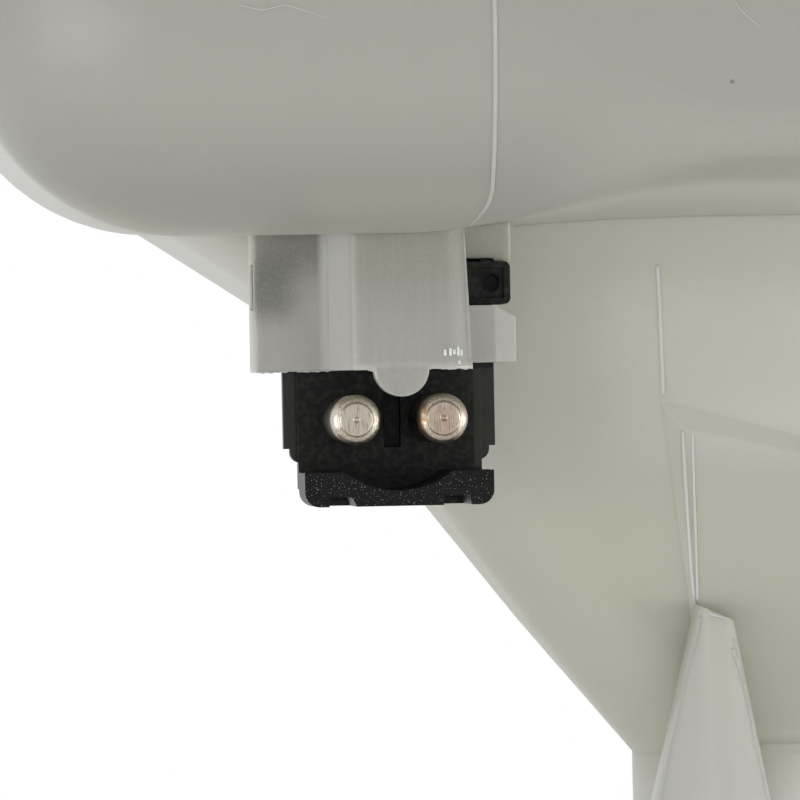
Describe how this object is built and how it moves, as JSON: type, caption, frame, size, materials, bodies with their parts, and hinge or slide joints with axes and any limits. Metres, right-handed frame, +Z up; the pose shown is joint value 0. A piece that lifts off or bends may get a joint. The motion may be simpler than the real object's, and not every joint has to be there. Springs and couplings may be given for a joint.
{
  "type": "coolant recovery tank",
  "caption": "Translucent moulded coolant recovery tank with a hopper foot, hose nipple, screw cap with valves and a clipped-in level sensor.",
  "frame": {"origin": "midway between the two mounting bolts, on the underside of the mounting ears", "axes": "+X along the tank towards the filler cap, +Y to its back, +Z up; the sensor plug faces -Y"},
  "size_m": [0.243, 0.118, 0.2139],
  "materials": {
    "natural_pp": "translucent, satin moulded",
    "black_pbt": "satin, spark-eroded rim",
    "black_pa": "fine moulded grain",
    "nickel_brass": "nickel plated, scratched tips",
    "rubber": "matt",
    "zinc_steel": "zinc plated",
    "spring_steel": "stainless, drawn",
    "reed_glass": "clear",
    "potting": "cast resin",
    "ferrite": "sintered",
    "float_foam": "foamed"
  },
  "bodies": {
    "tank": {"lower_shell": "natural_pp", "upper_shell": "natural_pp", "sensor_housing": "black_pbt", "sensor_pin_left": "nickel_brass", "sensor_pin_right": "nickel_brass", "sensor_potting": "potting", "reed_switch": "reed_glass", "reed_lead_left": "spring_steel", "reed_lead_right": "spring_steel", "float_clip": "spring_steel", "neck_gasket": "rubber", "lug_sleeve_left": "zinc_steel", "lug_sleeve_right": "zinc_steel", "foot_grommet": "rubber"},
    "float": {"float_ring": "float_foam", "float_magnet": "ferrite"},
    "cap_insert": {"cap_insert": "black_pa", "insert_oring": "rubber", "spring_retainer": "black_pa", "pressure_spring": "spring_steel"},
    "cap_shell": {"cap_shell": "black_pa"},
    "pressure_valve": {"pressure_plate": "zinc_steel", "valve_seal": "rubber", "vacuum_spring": "spring_steel"},
    "vacuum_valve": {"vacuum_valve": "zinc_steel", "vacuum_washer": "spring_steel"}
  },
  "joints": [
    {"name": "float_rise", "type": "slide", "parent": "tank", "child": "float", "axis": [0, 0, 1], "range_m": [0, 0.028]},
    {"name": "cap_lift", "type": "slide", "parent": "tank", "child": "cap_insert", "axis": [0, 0, 1], "range_m": [0, 0.05]},
    {"name": "cap_turn", "type": "hinge", "parent": "cap_insert", "child": "cap_shell", "pos_m": [0.0464, 0, 0.091], "axis": [0, 0, 1], "range_deg": [0, 540]},
    {"name": "pressure_open", "type": "slide", "parent": "cap_insert", "child": "pressure_valve", "axis": [0, 0, 1], "range_m": [0, 0.002], "stiffness_N_per_m": 3000, "springref_m": -0.004, "deforming": ["pressure_spring"]},
    {"name": "vacuum_open", "type": "slide", "parent": "pressure_valve", "child": "vacuum_valve", "axis": [0, 0, -1], "range_m": [0, 0.0015], "stiffness_N_per_m": 150, "springref_m": -0.002, "deforming": ["vacuum_spring"]}
  ]
}
